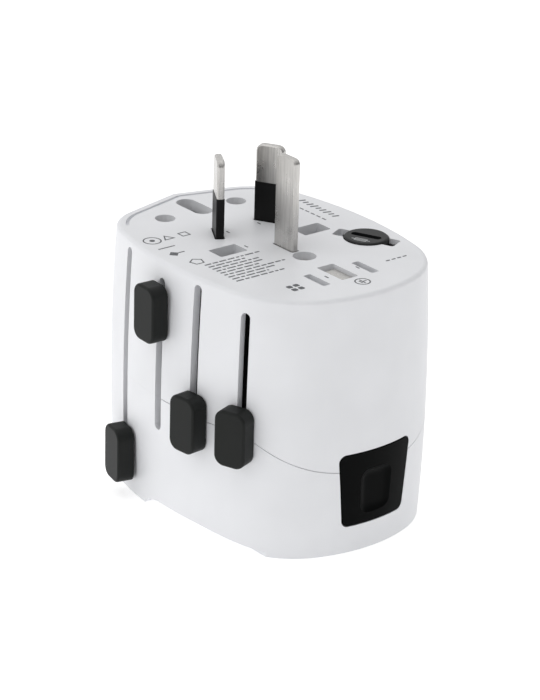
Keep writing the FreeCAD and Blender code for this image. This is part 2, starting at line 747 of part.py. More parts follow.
aus_arm_right = uk_left - carriage_gap
uk_web_left = us_ground_right + carriage_gap
us_web_right = uk_earth_high + carriage_gap

carriages = {
    "round": plate([(round_x - round_grip, round_y - round_half_spread - round_grip),
                    (round_earth_x + round_grip, round_y - round_half_spread - round_grip),
                    (round_earth_x + round_grip, round_y + round_half_spread + round_grip),
                    (round_x - round_grip, round_y + round_half_spread + round_grip)]),
    "aus": plate([(aus_left, -aus_high), (aus_arm_left, -aus_high), (aus_arm_left, past_front),
                  (aus_arm_end, past_front), (aus_arm_end, -uk_high - carriage_gap),
                  (aus_arm_right, -uk_high - carriage_gap), (aus_arm_right, -aus_earth_grip),
                  (aus_earth_x + blade_width / 2, -aus_earth_grip),
                  (aus_earth_x + blade_width / 2, aus_earth_grip), (aus_right, aus_earth_grip),
                  (aus_right, aus_high), (aus_left, aus_high)]),
    "uk": plate([(uk_left, -uk_high), (slot_x["uk"] - arm_short, -uk_high),
                 (slot_x["uk"] - arm_short, past_front), (slot_x["uk"] + arm_short, past_front),
                 (slot_x["uk"] + arm_short, -uk_half_spread - arm_short),
                 (us_arm_left - carriage_gap, -uk_half_spread - arm_short),
                 (us_arm_left - carriage_gap, -uk_earth_grip), (uk_earth_high, -uk_earth_grip),
                 (uk_earth_high, uk_earth_grip), (uk_web_left, uk_earth_grip),
                 (uk_web_left, -uk_half_spread + arm_short), (uk_right, -uk_half_spread + arm_short),
                 (uk_right, -uk_low), (uk_left, -uk_low)]),
    "us": plate([(us_arm_left, -us_low), (us_arm_left, past_front), (slot_x["us"] + arm_short, past_front),
                 (slot_x["us"] + arm_short, -us_high), (us_right, -us_high), (us_right, us_high),
                 (us_left, us_high), (us_left, -uk_earth_grip), (us_ground_right, -uk_earth_grip),
                 (us_ground_right, us_low), (us_web_right, us_low), (us_web_right, -us_low)])}

# A second carrier behind holds the other rectangular pin, and a thin steel strip joins the two.
strip_x = (aus_earth_x + blade_width / 2 + us_ground_x - us_ground_radius) / 2
strip_x0 = strip_x - strip_thickness / 2
strip_x1 = strip_x + strip_thickness / 2
rear_arm_low = us_high + slide_gap
rear_arm_high = fuse_y - cap_radius - cap_rim - slide_gap / 2
rear_arm_end = strip_x1 + strip_cover
uk_rear = plate([(uk_left, uk_low), (uk_right, uk_low), (uk_right, rear_arm_low),
                 (rear_arm_end, rear_arm_low), (rear_arm_end, rear_arm_high), (uk_right, rear_arm_high),
                 (uk_right, uk_high), (uk_left, uk_high)])
strip_y0 = -uk_half_spread - strip_root
strip_y1 = rear_arm_high - strip_end
strip = box(strip_x0, strip_x1, strip_y0, strip_y1, plate_low, plate_top)
strip_slot = box(strip_x0, strip_x1, strip_y0, strip_y1, plate_low - 1, plate_top + 1)

stem_out = bulge + knob_gap + pocket_depth
for name in carriages:
    stem_low = knob_out[name] - stem_half_height
    stem_high = knob_out[name] + stem_half_height
    carriage = carriages[name].common(inside_frame).cut(Part.makeCompound([pins[n] for n in set_of[name]]))
    if name == "round":
        # This set's stem belongs to a slide of its own, with a head behind the slider frame.
        head_in = cut_back + slide_head_thickness
        slide_round = along_slot(name, stem_width / 2, head_in, stem_out, stem_low, stem_high)
        slide_round = slide_round.fuse(
            along_slot(name, slide_head_half_width, head_in, -cut_back, stem_low, stem_high))
    else:
        stem_in = frame_out + frame_thickness + stem_reach
        carriage = carriage.fuse([along_slot(name, stem_width / 2, stem_in, stem_out, stem_low, stem_high),
                                  along_slot(name, stem_width / 2, stem_in, -cut_back, stem_low, plate_top)])
    if name == "uk":
        carriage = carriage.cut(strip_slot)
        uk_rear = uk_rear.cut(Part.makeCompound([pins[n] for n in set_of[name]])).cut(strip_slot)
    carriages[name] = carriage


def knob(name):
    """Rounded slider knob standing off the front wall, with a blind pocket for its stem."""
    z = knob_out[name]
    back = bulge + knob_gap
    face = back + knob_depth
    middle = knob_aside[name]
    block = box(back, face, middle - knob_width / 2, middle + knob_width / 2,
                z - knob_height / 2, z + knob_height / 2)
    block = rounded(block, "x", knob_corner)
    block = block.makeFillet(knob_edge, [e for e in block.Edges if abs(e.CenterOfMass.x - face) < 1e-6])
    pocket = box(back - 1, back + pocket_depth, -stem_width / 2, stem_width / 2,
                 z - stem_half_height, z + stem_half_height)
    spot, out = front_spot(slot_x[name])
    return turned(block.cut(pocket), math.degrees(math.atan2(out.y, out.x)), spot.x, spot.y)


# ---------------------------------------------------------------- fuse
cap_top = body_height + cap_proud
cap_low = cap_top - cap_height
fuse_cap = post(fuse_x, fuse_y, cap_radius, cap_low, cap_top)
fuse_cap = fuse_cap.makeFillet(cap_edge, [e for e in fuse_cap.Edges if e.CenterOfMass.z > cap_top - 1e-6])
ear = box(-ear_reach, ear_reach, -ear_width / 2, ear_width / 2, ear_low, ear_low + ear_height)
ear = turned(ear, notch_angle + 90, fuse_x, fuse_y).common(post(fuse_x, fuse_y, ear_reach, 0, body_height))
coin_slot = box(-coin_slot_length / 2, coin_slot_length / 2, -coin_slot_width / 2, coin_slot_width / 2,
                cap_top - coin_slot_depth, cap_top + 1)
coin_slot = turned(rounded(coin_slot, "z", coin_slot_width / 2 - 0.01), notch_angle, fuse_x, fuse_y)
fuse_cap = fuse_cap.fuse(ear).cut(coin_slot)

fuse_top = cap_low - cap_to_fuse
fuse_low = fuse_top - fuse_length
glass_low = fuse_low + ferrule_end
glass_high = fuse_top - ferrule_end
glass_radius = fuse_radius - ferrule_thickness
glass = post(fuse_x, fuse_y, glass_radius, glass_low, glass_high)
ferrules = {"upper": post(fuse_x, fuse_y, fuse_radius, fuse_top - ferrule_length, fuse_top).cut(glass),
            "lower": post(fuse_x, fuse_y, fuse_radius, fuse_low, fuse_low + ferrule_length).cut(glass)}
glass = glass.cut(post(fuse_x, fuse_y, glass_radius - glass_thickness,
                       glass_low + glass_thickness, glass_high - glass_thickness))

spring_low = fuse_low - fuse_spring_length
holder_low = spring_low - holder_floor
bore_radius = fuse_radius + fuse_gap
holder = post(fuse_x, fuse_y, bore_radius + holder_wall, holder_low, roof_z)
holder = holder.fuse(post(fuse_x, fuse_y, cap_radius + cap_rim, roof_z - rim_height, roof_z))
holder = holder.cut(post(fuse_x, fuse_y, cap_radius + cap_gap, cap_low, roof_z + 1))
holder = holder.cut(post(fuse_x, fuse_y, bore_radius, spring_low, roof_z + 1))


def coil(radius, wire, low, high, turns, x, y):
    """Compression spring whose solid fills from low to high, swept along a smooth line through a helix."""
    pitch = (high - low - wire) / turns
    count = turns * coil_points
    step = 2 * math.pi / coil_points
    points = [V(radius * math.cos(i * step), radius * math.sin(i * step), pitch * i / coil_points)
              for i in range(count + 1)]
    line = Part.BSplineCurve()
    line.interpolate(points)
    along = V(0, radius, pitch / (2 * math.pi))
    start = Part.Wire(Part.makeCircle(wire / 2, V(radius, 0, 0), along))
    spring = Part.Wire(line.toShape()).makePipeShell([start], True, True)
    spring.translate(V(x, y, low + wire / 2))
    return spring


fuse_spring = coil(fuse_spring_radius, fuse_spring_wire, spring_low, fuse_low, 3, fuse_x, fuse_y)
release_spring = coil(spring_radius, spring_wire, 0.0, spring_length, 4, 0, 0)
release_spring.rotate(V(0, 0, 0), V(0, 1, 0), 90)
release_spring.translate(V(spring_x, 0, spring_height_z))
lower = lower.fuse(box(spring_x - spring_wall, spring_x, -spring_wall_half_width, spring_wall_half_width,
                       floor - 0.5, spring_height_z + spring_radius + spring_wall))

# ---------------------------------------------------------------- write every node
save("upper_shell", upper)
save("lower_shell", lower)
save("socket_plate", socket_plate)
save("slider_frame", slider_frame)
for name in contacts:
    save(name + "_contact", contacts[name])
for name in carriages:
    save("carriage_" + name, lowered(carriages[name], name, pin_travel))
    save("knob_" + name, lowered(knob(name), name, travel))
    for pin_name in set_of[name]:
        save(pin_name, lowered(pins[pin_name], name, pin_travel))
save("slide_round", lowered(slide_round, "round", travel))
for name in sleeves:
    save(name, lowered(sleeves[name], name.split("_")[0], pin_travel))
save("uk_rear_carrier", lowered(uk_rear, "uk", pin_travel))
save("uk_link_strip", lowered(strip, "uk", pin_travel))
save("release_button", button)
save("latch_bar", latch_bar)
save("release_spring", release_spring)
save("fuse_cap", fuse_cap)
save("fuse_glass", glass)
for end in ferrules:
    save("fuse_ferrule_" + end, ferrules[end])
save("fuse_holder", holder)
save("fuse_spring", fuse_spring)
cross = cross_length / 2
for index, (x, y) in enumerate(screw_spots):
    screw = post(x, y, screw_radius, screw_head_high, screw_top)
    screw = screw.fuse(post(x, y, screw_head_radius, screw_head_low, screw_head_high))
    for half_x, half_y in ((cross, cross_width / 2), (cross_width / 2, cross)):
        arm_top = screw_head_low + cross_depth
        screw = screw.cut(box(x - half_x, x + half_x, y - half_y, y + half_y, 0, arm_top))
    save("case_screw_%d" % (index + 1), screw)
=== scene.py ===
import math
import random

import bpy
from bpy.props import FloatProperty, FloatVectorProperty, PointerProperty
from mathutils import Matrix, Vector


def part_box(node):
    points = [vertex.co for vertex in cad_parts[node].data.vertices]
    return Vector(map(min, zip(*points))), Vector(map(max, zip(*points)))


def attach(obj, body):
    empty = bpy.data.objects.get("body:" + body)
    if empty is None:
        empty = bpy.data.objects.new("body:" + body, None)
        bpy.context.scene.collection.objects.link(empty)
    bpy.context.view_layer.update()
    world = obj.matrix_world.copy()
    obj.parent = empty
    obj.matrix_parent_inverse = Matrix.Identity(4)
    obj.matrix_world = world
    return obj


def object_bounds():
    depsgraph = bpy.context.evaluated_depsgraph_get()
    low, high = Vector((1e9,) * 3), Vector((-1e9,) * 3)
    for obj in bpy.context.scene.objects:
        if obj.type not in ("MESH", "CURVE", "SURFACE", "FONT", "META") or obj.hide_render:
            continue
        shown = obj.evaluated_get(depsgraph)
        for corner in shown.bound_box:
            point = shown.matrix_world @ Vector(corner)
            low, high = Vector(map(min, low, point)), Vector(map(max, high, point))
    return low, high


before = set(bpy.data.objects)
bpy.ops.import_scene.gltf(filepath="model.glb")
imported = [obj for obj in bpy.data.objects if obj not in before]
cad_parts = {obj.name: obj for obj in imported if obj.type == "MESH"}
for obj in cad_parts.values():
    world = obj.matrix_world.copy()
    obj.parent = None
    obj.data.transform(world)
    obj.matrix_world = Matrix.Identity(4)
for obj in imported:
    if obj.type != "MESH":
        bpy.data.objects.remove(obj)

bl_info = {
    "name": "Universal travel adapter",
    "version": (1, 0, 0),
    "blender": (4, 5, 0),
    "location": "3D View > Sidebar > Adapter",
    "description": "Finishes, printed marks and a studio for a travel adapter with four sliding plug sets",
    "category": "Object",
}

MM = 0.001
CAD_BOX = [list(corner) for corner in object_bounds()]
FACE_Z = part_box("upper_shell")[1].z          # the pin face
CAP_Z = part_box("fuse_cap")[1].z              # the fuse cap's face

# Sizes of what the materials draw, in millimetres.
MELT_DRIFT = 14                              # slow shifts of tone and gloss over a moulding
PLATING_CLOUD = 4                            # duller patches in the plating
METAL_LINE_DEPTH = 0.02
GLASS_WAVE = 3                               # waves along the drawn tube
GLASS_WAVE_DEPTH = 0.02
INK_MOTTLE = 0.5
PAPER_FIBRE = 2
PAPER_FIBRE_DEPTH = 0.05
SHADE_START, SHADE_END = 0.3, 0.7            # where a pattern's shade starts and stops changing

# Printed marks on the pin face. Places and lengths are in millimetres and turns in degrees.
SIGN_LINE = 0.28
# Outlines: name, sides, radius, x, y, turn.
OUTLINE_SIGNS = (
    ("sign_ring", 40, 2.0, -13.7, -20.8, 0),
    ("sign_triangle", 3, 1.6, -13.2, -17.1, 90),
    ("sign_square", 4, 1.5, -13.2, -12.9, 45),
    ("sign_pentagon", 5, 1.7, 1.0, -20.2, 90),
    ("sign_earth_ring", 40, 1.7, 28.8, 0.8, 0),
)
# Solid signs: name, sides, radius, x, y.
SOLID_SIGNS = (
    ("sign_ring_dot", 24, 0.6, -13.7, -20.8),
    ("sign_diamond", 4, 1.2, -5.1, -21.5),
)
# Bars: x, y, length, width, turn, with the length along Y before the turn.
EARTH_BARS = (
    (28.8, 0.8, 2.0, SIGN_LINE, 90),
    (28.8, 1.3, 1.0, SIGN_LINE, 0),
    (28.8, 0.3, 1.2, SIGN_LINE, 90),
)
SIGN_BARS = (
    (-8.9, -20.6, 4.2, 0.35, 0),
    (-5.1, -19.6, 1.6, 0.35, 0),
)
BLOCKS_X, BLOCKS_Y = 23.7, -12.5             # middle of the two by two block
BLOCK_SIZE = 1.25
BLOCK_STEP = 0.85                            # from the middle to each block's centre

# Fuse sign on the cap, beside the coin slot and in line with it.
COIN_SLOT_TURN = 25
FUSE_SIGN_OFFSET = 2.75                      # from the cap's centre
FUSE_SIGN_LINE = 0.2
FUSE_BOX_LENGTH, FUSE_BOX_WIDTH = 2.6, 1.1
FUSE_BOX_END = 1.3                           # length of each end, a little over the box's width
FUSE_WIRE_LENGTH = 4.2

# Small print: rows of dashes along Y.
DASH_SHORTEST, DASH_LONGEST = 0.7, 2.4
DASH_GAP = 0.4
DASH_LEAST = 0.35                            # a shorter end of a row is left out
LONE_DASHES = ((-0.1, -6.6), (-8.9, -4.6), (-9.3, 4.0), (22.8, -3.7), (22.3, 4.9))   # x, y
LONE_DASH_LENGTH = 1.2
DASH_WIDTH = 0.35

# Studio. Lengths are in metres unless they say otherwise.
FLOOR_SIZE = 6.0
FLOOR_GAP = 0.02 * MM                        # keeps the floor off the socket face
FLOOR_GLOW = 0.45
ROOM_SLOPE = (-0.33, -0.03, 0.38)            # how much the room brightens towards +X, +Y and +Z
# Lamps: name, azimuth and elevation in degrees, distance, side, watts.
LAMPS = (
    ("key_softbox", -10, 40, 0.9, 0.9, 0.6),
    ("fill_softbox", 100, 30, 1.1, 1.0, 0.06),
    ("top_softbox", 60, 85, 1.0, 1.2, 0.8),
)
CAMERA_AIM = Vector((2.36, -1.45, 33.25)) * MM
SENSOR_WIDTH = 36.0                          # millimetres
CLIP_START, CLIP_END = 0.01, 20.0


# ---------------------------------------------------------------- small tools
def linear(hex_colour):
    """sRGB hex such as #E9EAEC as linear RGBA."""
    values = [int(hex_colour[i:i + 2], 16) / 255 for i in (1, 3, 5)]
    return [v / 12.92 if v <= 0.04045 else ((v + 0.055) / 1.055) ** 2.4 for v in values] + [1.0]


def shade(colour, share):
    """The same colour, darker or lighter by a share."""
    return [min(1.0, c * share) for c in colour[:3]] + [1.0]


def add_node(tree, kind, inputs=None, ramp=(), **settings):
    """Adds a node with its settings and colour ramp. A socket given as an input is linked, a value is set."""
    node = tree.nodes.new(kind)
    for name, value in settings.items():
        setattr(node, name, value)
    for stop, (position, colour) in enumerate(ramp):
        node.color_ramp.elements[stop].position = position
        node.color_ramp.elements[stop].color = colour
    for name, value in (inputs or {}).items():
        if isinstance(value, bpy.types.NodeSocket):
            tree.links.new(value, node.inputs[name])
        else:
            node.inputs[name].default_value = value
    return node


def new_material(name):
    material = bpy.data.materials.new(name)
    material.use_nodes = True
    material.node_tree.nodes.clear()
    return material, material.node_tree



# ---------------------------------------------------------------- plastics
def moulded_plastic(name, colour, roughness, grain_mm, grain_height_mm, shine=0.5, drift=0.95):
    """Injection-moulded plastic from a spark-eroded tool: an even pebble, and slow shifts in tone and gloss
    where the melt cooled at different speeds. Real pebbles are about 0.1 mm apart, and these are drawn two to
    five times as coarse so that they show. shine is the strength of the clear reflection."""
    material, tree = new_material(name)
    place = add_node(tree, "ShaderNodeTexCoord").outputs["Object"]
    slow = add_node(tree, "ShaderNodeTexNoise",
                    {"Vector": place, "Scale": 1 / (MELT_DRIFT * MM), "Detail": 2.0, "Roughness": 0.5})
    pebble = add_node(tree, "ShaderNodeTexNoise",
                      {"Vector": place, "Scale": 1 / (grain_mm * MM), "Detail": 3.0, "Roughness": 0.6})
    gloss = add_node(tree, "ShaderNodeMapRange",
                     {"Value": slow.outputs["Fac"], "To Min": roughness - 0.05, "To Max": roughness + 0.05})
    bump = add_node(tree, "ShaderNodeBump",
                    {"Height": pebble.outputs["Fac"], "Strength": 0.6, "Distance": grain_height_mm * MM})
    base = add_node(tree, "ShaderNodeValToRGB", {"Fac": slow.outputs["Fac"]},
                    ramp=((SHADE_START, shade(colour, drift)), (SHADE_END, colour)))
    shader = add_node(tree, "ShaderNodeBsdfPrincipled",
                      {"Base Color": base.outputs["Color"], "Roughness": gloss.outputs[0],
                       "Normal": bump.outputs[0],
                       "IOR": 1.53, "Specular IOR Level": shine})
    add_node(tree, "ShaderNodeOutputMaterial", {"Surface": shader.outputs[0]})
    return material


# ---------------------------------------------------------------- metals
def drawn_metal(name, colour, roughness, streak_mm, along, depth=0.68):
    """Plated metal with fine drawing or turning lines: streaks much longer than they are wide, which stretch
    the highlight across them, and cloudy patches where the plating is duller. Real lines are under 0.1 mm
    wide, and these are drawn coarser so that they show."""
    material, tree = new_material(name)
    place = add_node(tree, "ShaderNodeTexCoord").outputs["Object"]
    stretched = add_node(tree, "ShaderNodeMapping", {"Vector": place, "Scale": along})
    streaks = add_node(tree, "ShaderNodeTexNoise",
                       {"Vector": stretched.outputs[0], "Scale": 1 / (streak_mm * MM), "Detail": 4.0,
                        "Roughness": 0.65})
    cloud = add_node(tree, "ShaderNodeTexNoise",
                     {"Vector": place, "Scale": 1 / (PLATING_CLOUD * MM), "Detail": 3.0, "Roughness": 0.55})
    gloss = add_node(tree, "ShaderNodeMapRange",
                     {"Value": cloud.outputs["Fac"], "To Min": roughness - 0.08, "To Max": roughness + 0.12})
    bump = add_node(tree, "ShaderNodeBump",
                    {"Height": streaks.outputs["Fac"], "Strength": 0.45, "Distance": METAL_LINE_DEPTH * MM})
    base = add_node(tree, "ShaderNodeValToRGB", {"Fac": streaks.outputs["Fac"]},
                    ramp=((SHADE_START, shade(colour, depth)), (SHADE_END, colour)))
    shader = add_node(tree, "ShaderNodeBsdfPrincipled",
                      {"Base Color": base.outputs["Color"], "Metallic": 1.0, "Roughness": gloss.outputs[0],
                       "Normal": bump.outputs[0]})
    add_node(tree, "ShaderNodeOutputMaterial", {"Surface": shader.outputs[0]})
    return material


def glass_tube(name):
    """Drawn glass tube of the fuse: clear, very slightly green and faintly wavy from drawing."""
    material, tree = new_material(name)
    place = add_node(tree, "ShaderNodeTexCoord").outputs["Object"]
    waves = add_node(tree, "ShaderNodeTexNoise",
                     {"Vector": place, "Scale": 1 / (GLASS_WAVE * MM), "Detail": 1.0})
    bump = add_node(tree, "ShaderNodeBump",
                    {"Height": waves.outputs["Fac"], "Strength": 0.2, "Distance": GLASS_WAVE_DEPTH * MM})
    shader = add_node(tree, "ShaderNodeBsdfPrincipled",
                      {"Base Color": linear("#E8F2EC"), "Roughness": 0.05, "IOR": 1.47,
                       "Transmission Weight": 0.9, "Normal": bump.outputs[0]})
    add_node(tree, "ShaderNodeOutputMaterial", {"Surface": shader.outputs[0]})
    return material


def pad_print(name, colour):
    """Pad-printed ink: a thin matt film that is slightly uneven where the pad lifted."""
    material, tree = new_material(name)
    place = add_node(tree, "ShaderNodeTexCoord").outputs["Object"]
    mottle = add_node(tree, "ShaderNodeTexNoise",
                      {"Vector": place, "Scale": 1 / (INK_MOTTLE * MM), "Detail": 2.0})
    base = add_node(tree, "ShaderNodeValToRGB", {"Fac": mottle.outputs["Fac"]},
                    ramp=((SHADE_START, colour), (SHADE_END, shade(colour, 1.5))))
    shader = add_node(tree, "ShaderNodeBsdfPrincipled",
                      {"Base Color": base.outputs["Color"], "Roughness": 0.6})
    add_node(tree, "ShaderNodeOutputMaterial", {"Surface": shader.outputs[0]})
    return material


# ---------------------------------------------------------------- printed marks
def new_mark(name, sides, radius, x, y, top, turn=0.0):
    """Flat many-sided face just under a surface at height top, left selected in edit mode. The radius and the
    place are in millimetres."""
    depth = bpy.context.scene.adapter_marks.ink_depth
    bpy.ops.object.select_all(action="DESELECT")
    bpy.ops.mesh.primitive_circle_add(vertices=sides, radius=radius * MM, fill_type="NGON",
                                      location=(x * MM, y * MM, top - depth),
                                      rotation=(0, 0, math.radians(turn)))
    mark = bpy.context.object
    mark.name = name
    mark.data.name = name
    bpy.ops.object.mode_set(mode="EDIT")
    bpy.ops.mesh.select_all(action="SELECT")
    return mark


def hollow(line):
    """Turns the selected face into an outline of that width."""
    bpy.ops.mesh.inset(thickness=line * MM)
    bpy.ops.mesh.delete(type="FACE")


def turn_flat(degrees, spot):
    """Turns what is selected anticlockwise about an upright line. The operator's own sense is clockwise."""
    bpy.ops.transform.rotate(value=-math.radians(degrees), orient_axis="Z", center_override=spot)


def round_corners(radius):
    bpy.ops.mesh.select_all(action="SELECT")
    bpy.ops.mesh.bevel(affect="VERTICES", offset=radius * MM, segments=2)


def print_mark(mark, ink, body="housing"):
    """Gives a flat mark its thickness and ink, and fixes it to its body."""
    marks = bpy.context.scene.adapter_marks
    bpy.ops.mesh.select_all(action="SELECT")
    bpy.ops.mesh.extrude_region_move(
        TRANSFORM_OT_translate={"value": (0, 0, marks.ink_depth + marks.ink_height)})
    bpy.ops.mesh.select_all(action="SELECT")
    bpy.ops.mesh.normals_make_consistent(inside=False)
    bpy.ops.object.mode_set(mode="OBJECT")
    bpy.ops.object.transform_apply(location=True, rotation=True, scale=True)
    mark.data.materials.append(ink)
    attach(mark, body)


def bar_group(name, bars, top, ink, corner, body="housing"):
    """One printed group of bars, each (x, y, length, width, turn), with the length along Y before the turn.
    Each bar starts as a square of 1 mm."""
    height = top - bpy.context.scene.adapter_marks.ink_depth
    mark = None
    for x, y, long, wide, turn in bars:
        spot = (x * MM, y * MM, height)
        if mark is None:
            mark = new_mark(name, sides=4, radius=math.sqrt(0.5), x=x, y=y, top=top, turn=45)
        else:
            bpy.ops.mesh.primitive_plane_add(size=MM, location=spot)
        bpy.ops.transform.resize(value=(wide, long, 1), center_override=spot)
        turn_flat(turn, spot)
    round_corners(corner)
    print_mark(mark, ink, body)


def bar_row(first, step, count, lengths, wide, turn):
    """Bars in a straight row, each one step on from the last. The lengths are used in turn."""
    return [(first[0] + step[0] * i, first[1] + step[1] * i, lengths[i % len(lengths)], wide, turn)
            for i in range(count)]


def dashed_lines(seed, first, rows, pitch, row_length, shorter, wide):
    """Bars of uneven length in rows that run along Y, like small print seen from afar. first is the first
    row's start, and shorter is the most that a row ends early. All in millimetres."""
    chance = random.Random(seed)
    bars = []
    for row in range(rows):
        y = first[1]
        end = first[1] + row_length - chance.uniform(0, shorter)
        while y < end:
            dash = min(chance.uniform(DASH_SHORTEST, DASH_LONGEST), end - y)
            if dash > DASH_LEAST:
                bars.append((first[0] + row * pitch, y + dash / 2, dash, wide, 0.0))
            y += dash + DASH_GAP
    return bars


# ---------------------------------------------------------------- settings
def colour_setting(name, description, default):
    return FloatVectorProperty(name=name, description=description, subtype="COLOR", size=4, min=0, max=1,
                               default=linear(default))


def length_setting(name, description, default_mm):
    return FloatProperty(name=name, description=description, default=default_mm * MM, unit="LENGTH",
                         subtype="DISTANCE", precision=5)


class AdapterFinishes(bpy.types.PropertyGroup):
    shell: colour_setting("Shell", "The white moulded shells", "#ECEDF0")
    knob: colour_setting("Knobs", "The slider knobs", "#1A1C1B")
    button: colour_setting("Button", "The release button", "#090A0A")
    plating: colour_setting("Plating", "The plated pins and blades", "#D2D0CD")
    sleeve: colour_setting("Sleeves", "The insulating sleeves", "#0A0A0A")
    fuse_cap: colour_setting("Fuse cap", "The fuse cap", "#1D1E1F")
    ink: colour_setting("Ink", "The printed marks", "#55575A")


class AdapterMarks(bpy.types.PropertyGroup):
    ink_height: length_setting("Ink height", "How far the printed marks stand off the face", 0.03)
    ink_depth: length_setting("Ink depth", "How far the printed marks reach into the face", 0.02)


class AdapterStage(bpy.types.PropertyGroup):
    azimuth: FloatProperty(name="Azimuth", description="Direction of the camera round the adapter",
                           default=math.radians(51.19), subtype="ANGLE")
    elevation: FloatProperty(name="Elevation", description="Height of the camera above the horizon",
                             default=math.radians(22.98), subtype="ANGLE")
    roll: FloatProperty(name="Roll", description="Turn of the camera about its own axis",
                        default=math.radians(-1.59), subtype="ANGLE")
    distance: length_setting("Distance", "From the camera to the point that it looks at", 633.3)
    lens: FloatProperty(name="Lens", description="Focal length on a 36 mm sensor", default=154.3,
                        subtype="DISTANCE_CAMERA")
    floor: colour_setting("Floor", "The floor", "#F4F4F4")
    daylight: FloatProperty(name="Daylight", description="Brightness of the pale room round the adapter",
                            default=0.51, min=0)


# ---------------------------------------------------------------- finishing the CAD nodes
def finish(material, *nodes):
    """Puts a material in every slot of the CAD nodes."""
    for name in nodes:
        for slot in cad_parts[name].material_slots:
            slot.link = "OBJECT"
            slot.material = material


def nodes_starting(*starts):
    return [name for name in sorted(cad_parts) if name.startswith(starts)]


class ADAPTER_OT_shells(bpy.types.Operator):
    """Finish the shells, the socket plate and the slider frame"""
    bl_idname = "adapter.shells"
    bl_label = "Shells"

    def execute(self, context):
        colours = context.scene.adapter_finishes
        # White ABS and polycarbonate blend: bright, softly satin, with a broad dull highlight.
        shell = moulded_plastic("satin_white_abs_pc_moulded", colours.shell, roughness=0.42,
                                grain_mm=0.22, grain_height_mm=0.006)
        finish(shell, "upper_shell", "lower_shell")
        # The socket plate comes from its own tool, a shade warmer and duller than the shells.
        plate = moulded_plastic("matt_white_polycarbonate_moulded", linear("#E6E6E6"), roughness=0.55,
                                grain_mm=0.3, grain_height_mm=0.01)
        finish(plate, "socket_plate")
        # Slider frame in dull black nylon, coloured near-black as painted shade: seen only through the slots,
        # it stands in for the shadow inside them.
        nylon = moulded_plastic("black_frame_painted_slot_shade", linear("#161718"), roughness=0.5,
                                grain_mm=0.35, grain_height_mm=0.01, shine=0.2)
        finish(nylon, "slider_frame")
        return {"FINISHED"}


class ADAPTER_OT_sliders(bpy.types.Operator):
    """Finish the knobs and the carriages behind them"""
    bl_idname = "adapter.sliders"
    bl_label = "Sliders"

    def execute(self, context):
        colours = context.scene.adapter_finishes
        # Matt black knobs with a fine grip texture: dark, with a wide grey sheen on their rounded edges.
        knob = moulded_plastic("matt_black_abs_moulded", colours.knob, roughness=0.48,
                               grain_mm=0.25, grain_height_mm=0.02, shine=0.16)
        finish(knob, *nodes_starting("knob_"))
        # Natural acetal of the carriages: pale, waxy and smooth.
        acetal = moulded_plastic("natural_acetal_moulded", linear("#DDDEDE"), roughness=0.38,
                                 grain_mm=0.5, grain_height_mm=0.004)
        finish(acetal, *nodes_starting("carriage_", "slide_"), "uk_rear_carrier")
        return {"FINISHED"}


class ADAPTER_OT_pins(bpy.types.Operator):
    """Finish the plated pins and blades and their insulating sleeves"""
    bl_idname = "adapter.pins"
    bl_label = "Pins"

    def execute(self, context):
        colours = context.scene.adapter_finishes
        # Nickel-plated brass blades, rolled and brushed lengthways: grey satin with upright streaks.
        blade = drawn_metal("nickel_plated_brass_brushed", colours.plating, roughness=0.26,
                            streak_mm=0.25, along=(1, 1, 0.03))
        finish(blade, *nodes_starting("aus_blade", "uk_pin", "us_blade"))
        # Turned pins carry rings round their axis instead.
        turned = drawn_metal("nickel_plated_brass_turned", colours.plating, roughness=0.22,
                             streak_mm=0.3, along=(0.08, 0.08, 1))
        finish(turned, *nodes_starting("round_pin", "us_pin_ground"))
        # Black nylon sleeves: deep black with a soft satin edge.
        sleeve = moulded_plastic("black_nylon_sleeve_moulded", colours.sleeve, roughness=0.4,
                                 grain_mm=0.2, grain_height_mm=0.004, shine=0.18)
        finish(sleeve, *nodes_starting("aus_sleeve", "uk_sleeve"))
        return {"FINISHED"}


class ADAPTER_OT_button(bpy.types.Operator):
    """Finish the release button and its latch"""
    bl_idname = "adapter.button"
    bl_label = "Release button"

    def execute(self, context):
        colours = context.scene.adapter_finishes
        # Black button from a finer tool than the knobs: darker and smoother, with little sheen.
        button = moulded_plastic("satin_black_abs_moulded", colours.button, roughness=0.36,
                                 grain_mm=0.18, grain_height_mm=0.004, shine=0.03)
        finish(button, "release_button")
        latch = moulded_plastic("black_acetal_moulded", linear("#1D1D1D"), roughness=0.4,
                                grain_mm=0.4, grain_height_mm=0.004)
        finish(latch, "latch_bar")
        return {"FINISHED"}


class ADAPTER_OT_fuse(bpy.types.Operator):
    """Finish the fuse cap, holder and fuse"""
    bl_idname = "adapter.fuse"
    bl_label = "Fuse"

    def execute(self, context):
        colours = context.scene.adapter_finishes
        # Near-black glass-filled nylon cap: a touch rougher, with faint pale mottling from the fibres.
        cap = moulded_plastic("black_glass_filled_nylon", colours.fuse_cap, roughness=0.45,
                              grain_mm=0.35, grain_height_mm=0.012, shine=0.25)
        finish(cap, "fuse_cap")
        holder = moulded_plastic("black_nylon_holder", linear("#202123"), roughness=0.5,
                                 grain_mm=0.35, grain_height_mm=0.01)
        finish(holder, "fuse_holder")
        finish(glass_tube("drawn_clear_glass"), "fuse_glass")
        # Pressed end caps, plated bright.
        ferrule = drawn_metal("nickel_plated_pressed_cap", linear("#D2D1CE"), roughness=0.16,
                              streak_mm=0.2, along=(0.1, 0.1, 1))
        finish(ferrule, *nodes_starting("fuse_ferrule"))
        return {"FINISHED"}


